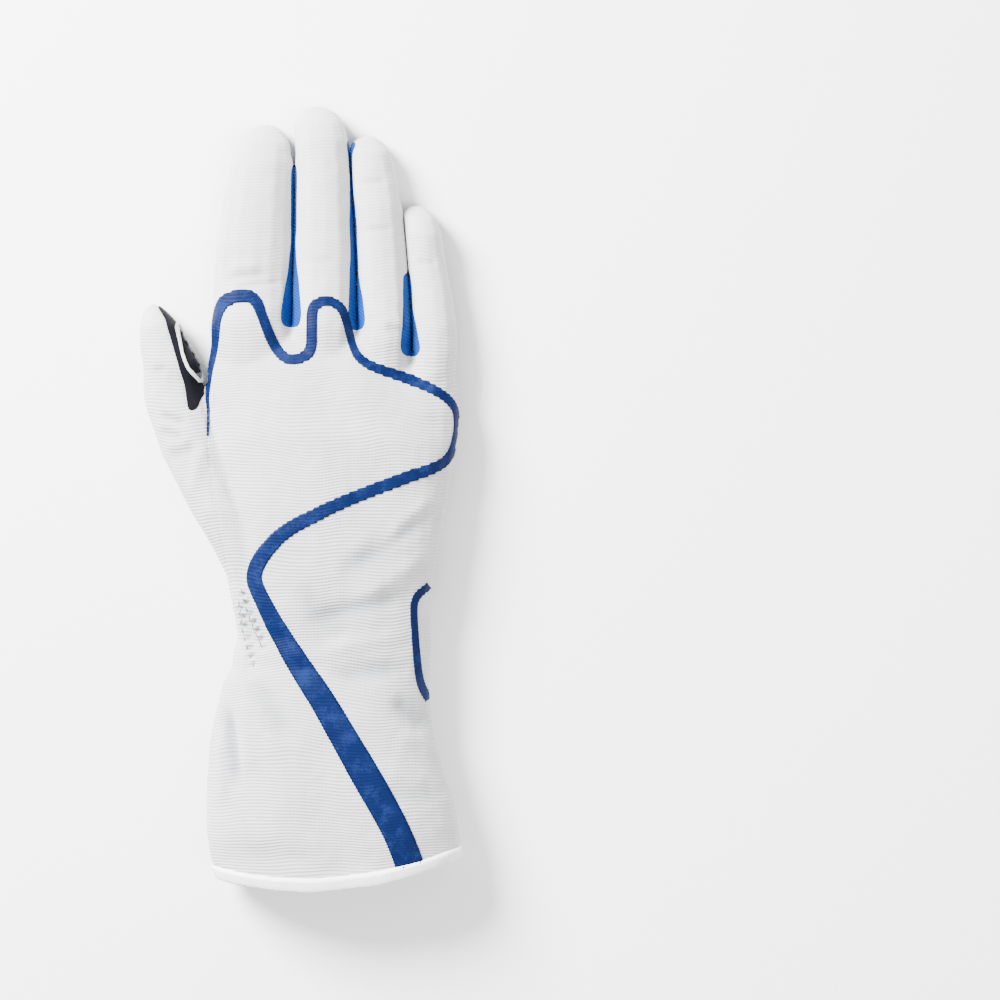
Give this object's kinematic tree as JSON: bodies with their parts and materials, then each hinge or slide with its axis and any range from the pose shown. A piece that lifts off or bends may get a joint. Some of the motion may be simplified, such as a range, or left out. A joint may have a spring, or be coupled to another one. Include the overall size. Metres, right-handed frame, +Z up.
{
  "type": "karting glove",
  "caption": "Right-hand karting glove with a flared gauntlet cuff, silicone palm grips and a blue film stripe, lying palm down.",
  "frame": {"origin": "bottom centre of the box, on the surface the glove lies on", "axes": "+Y from the hem to the fingertips, +Z up out of the back of the hand, -X the thumb side"},
  "size_m": [0.1292, 0.3148, 0.0341],
  "materials": {
    "white_cloth": "ribbed woven cloth, matte",
    "navy_suede": "fine suede, matte",
    "blue_knit": "stretch knit, matte",
    "satin_tape": "satin binding tape",
    "blue_film": "thin flexible film, satin gloss",
    "silicone": "printed silicone, white rims and grey bars"
  },
  "bodies": {
    "root": {"hand_back": "white_cloth", "thumb_back": "white_cloth", "cuff": "white_cloth", "palm": "navy_suede", "hem_binding": "satin_tape", "fourchette_index_middle": "blue_knit", "fourchette_middle_ring": "blue_knit", "fourchette_ring_little": "blue_knit", "back_stripe": "blue_film", "side_patch_edge": "blue_film", "index_tip_grip": "silicone", "middle_tip_grip": "silicone", "ring_tip_grip": "silicone", "little_tip_grip": "silicone", "heel_grip": "silicone", "knuckle_grip": "silicone", "thenar_grip": "silicone", "web_grip": "silicone", "thumb_grip": "silicone"}
  },
  "joints": []
}
